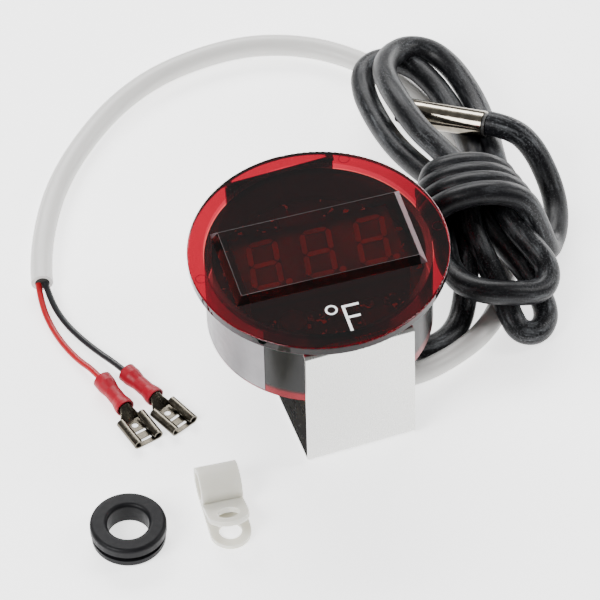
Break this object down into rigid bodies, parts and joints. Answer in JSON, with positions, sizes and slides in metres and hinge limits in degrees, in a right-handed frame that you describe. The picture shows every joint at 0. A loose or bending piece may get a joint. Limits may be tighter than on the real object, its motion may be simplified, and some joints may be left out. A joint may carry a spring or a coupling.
{
  "type": "digital panel thermometer",
  "caption": "Round panel-mount digital thermometer: red-lensed display head on a clamp bracket, supply lead with push-on terminals, metal probe on a tied cord, loose grommet and cable clip.",
  "frame": {"origin": "on the bench, in the underside of the bracket's base, on the head's axis", "axes": "+X right along the display's digits, +Y towards the tops of the digits, +Z out of the display's face"},
  "size_m": [0.134, 0.1494, 0.0407],
  "materials": {
    "red_lens": "clear, polished, tinted red",
    "label_film": "satin silver-grey film",
    "black_plastic": "moulded, fine grain",
    "segment_resin": "unlit diffuse resin",
    "tinned_metal": "bright tinned",
    "board": "solder mask on glass-fibre laminate",
    "chip_resin": "moulded epoxy",
    "resistor_ceramic": "ceramic with a dark top",
    "can_metal": "drawn can",
    "insert_brass": "turned",
    "plated_steel": "zinc plated",
    "bracket_metal": "satin plated sheet",
    "cable_jacket": "satin vinyl",
    "red_insulation": "glossy vinyl",
    "black_insulation": "glossy vinyl",
    "cord_rubber": "dull with pale dust",
    "tinned_brass": "dull tin plate",
    "red_vinyl": "glossy, slightly clear vinyl",
    "capsule_metal": "drawn and polished",
    "potting": "cast epoxy",
    "grommet_rubber": "moulded, slight sheen",
    "clip_nylon": "milky translucent nylon"
  },
  "bodies": {
    "head": {"lens_housing": "red_lens", "side_label": "label_film", "display_body": "black_plastic", "display_segments": "segment_resin", "display_pins": "tinned_metal", "circuit_board": "board", "microcontroller": "chip_resin", "chip_resistors": "resistor_ceramic", "filter_capacitor": "can_metal", "voltage_regulator": "chip_resin", "rear_cover": "black_plastic", "power_gland": "cable_jacket", "probe_gland": "cord_rubber", "solder_tails": "tinned_metal", "threaded_insert": "insert_brass", "power_cable": "cable_jacket", "red_wire": "red_insulation", "black_wire": "black_insulation", "probe_lead": "cord_rubber", "probe_tail": "cord_rubber", "probe_hank": "cord_rubber", "red_wire_receptacle": "tinned_brass", "red_wire_sleeve": "red_vinyl", "black_wire_receptacle": "tinned_brass", "black_wire_sleeve": "red_vinyl", "sensor_capsule": "capsule_metal", "sensor_seal": "potting", "thermistor_bead": "potting"},
    "clamp_carrier": {"retaining_washer": "plated_steel"},
    "screw": {"clamp_screw": "plated_steel"},
    "bracket": {"mounting_bracket": "bracket_metal"},
    "grommet": {"panel_grommet": "grommet_rubber"},
    "clip": {"cable_clip": "clip_nylon"}
  },
  "joints": [
    {"name": "clamp_travel", "type": "slide", "parent": "head", "child": "clamp_carrier", "axis": [0, 0, -1], "range_m": [0, 0.006]},
    {"name": "screw_turn", "type": "hinge", "parent": "clamp_carrier", "child": "screw", "pos_m": [0, 0, 0.01], "axis": [0, 0, -1], "range_deg": [0, 3087]},
    {"name": "bracket_swivel", "type": "hinge", "parent": "clamp_carrier", "child": "bracket", "pos_m": [0, 0, 0.001], "axis": [0, 0, 1], "range_deg": [-20, 20]},
    {"name": "grommet_lift", "type": "slide", "parent": "head", "child": "grommet", "axis": [0, 0, 1], "range_m": [0, 0.04]},
    {"name": "clip_lift", "type": "slide", "parent": "head", "child": "clip", "axis": [0, 0, 1], "range_m": [0, 0.04]}
  ],
  "couplings": [
    {"joint": "screw_turn", "follows": "clamp_travel", "rad_per_m": 8976}
  ]
}
